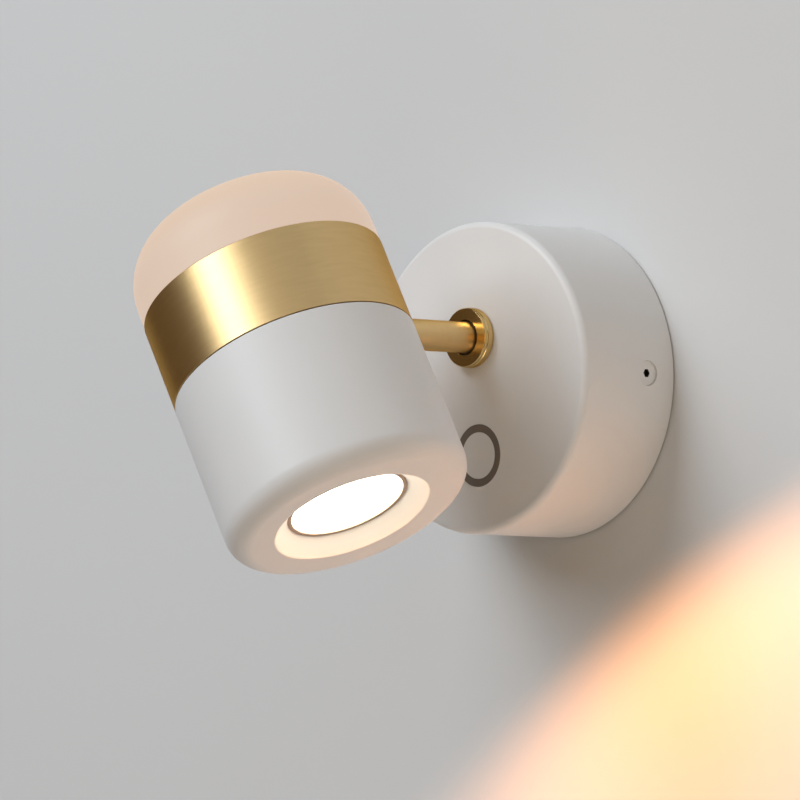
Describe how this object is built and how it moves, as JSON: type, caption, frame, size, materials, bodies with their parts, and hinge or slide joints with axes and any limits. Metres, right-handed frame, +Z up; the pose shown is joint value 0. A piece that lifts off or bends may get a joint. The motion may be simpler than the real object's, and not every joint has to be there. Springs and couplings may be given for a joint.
{
  "type": "pivoting spotlight wall light",
  "caption": "Wall light with a round touch-dimmer base and a short brass arm, on which a cylindrical head with a downward spot and an opal glass top turns.",
  "frame": {"origin": "centre of the round base on the wall", "axes": "-Y out of the wall along the arm, +Z up the wall, +X to the right of someone who faces the wall"},
  "size_m": [0.1137, 0.1642, 0.1254],
  "materials": {
    "white_paint": "fine matt powder coat",
    "white_screw": "matt, painted like the housing",
    "satin_brass": "satin, brushed round",
    "turned_brass": "turned and lightly polished",
    "brass_fitting": "plain",
    "opal_glass": "opal, frosted, lit softly from inside",
    "frosted_lens": "frosted, lit from behind",
    "dark_insulator": "matt",
    "trim_plastic": "matt",
    "white_plastic": "matt",
    "black_plastic": "matt",
    "soft_black": "soft rubber",
    "clear_silicone": "soft silicone",
    "circuit_board": "varnished board",
    "white_board": "white solder mask",
    "warm_led": "phosphor",
    "steel": "zinc plated",
    "cast_aluminium": "as cast and turned",
    "bright_reflector": "bright coated",
    "brown_sleeve": "insulation",
    "green_sleeve": "insulation",
    "white_sleeve": "insulation"
  },
  "bodies": {
    "base": {"wall_plate": "steel", "tab_nuts": "steel", "side_screws": "white_screw", "base_housing": "white_paint", "cable_bush": "soft_black", "terminal_block": "white_plastic", "terminal_screw": "steel", "earth_tag": "brass_fitting", "earth_screw": "brass_fitting", "driver_case": "black_plastic", "driver_lid": "black_plastic", "driver_board": "circuit_board", "driver_screws": "steel", "touch_ring": "dark_insulator", "touch_disc": "white_paint", "touch_board": "circuit_board", "touch_screws": "steel", "mains_leads": "brown_sleeve", "earth_lead": "green_sleeve", "output_lead": "white_sleeve", "touch_lead": "white_sleeve", "swivel_collar": "turned_brass", "collar_flange": "turned_brass", "collar_nut": "steel", "swivel_bush": "black_plastic", "stop_pin": "steel"},
    "head": {"arm": "satin_brass", "thrust_washer": "steel", "disc_spring": "steel", "stop_washer": "steel", "arm_nut": "steel", "arm_lead": "white_sleeve", "lead_joint": "black_plastic", "glow_lead": "white_sleeve", "spot_lead": "white_sleeve", "brass_band": "satin_brass", "head_core": "cast_aluminium", "arm_grub_screw": "steel", "glass_gasket": "clear_silicone", "glass_diffuser": "opal_glass", "glow_plate": "white_plastic", "glow_board": "white_board", "glow_leds": "warm_led", "glow_screws": "steel", "spot_housing": "white_paint", "heat_sink": "cast_aluminium", "sink_screws": "steel", "spot_board": "white_board", "spot_led": "warm_led", "board_screws": "steel", "reflector": "bright_reflector", "lens_trim": "trim_plastic", "lens": "frosted_lens", "lens_retainer": "black_plastic"}
  },
  "joints": [
    {"name": "swivel", "type": "hinge", "parent": "base", "child": "head", "pos_m": [0, -0.04, 0.0127], "axis": [0, -1, 0], "range_deg": [-196, 144]}
  ]
}
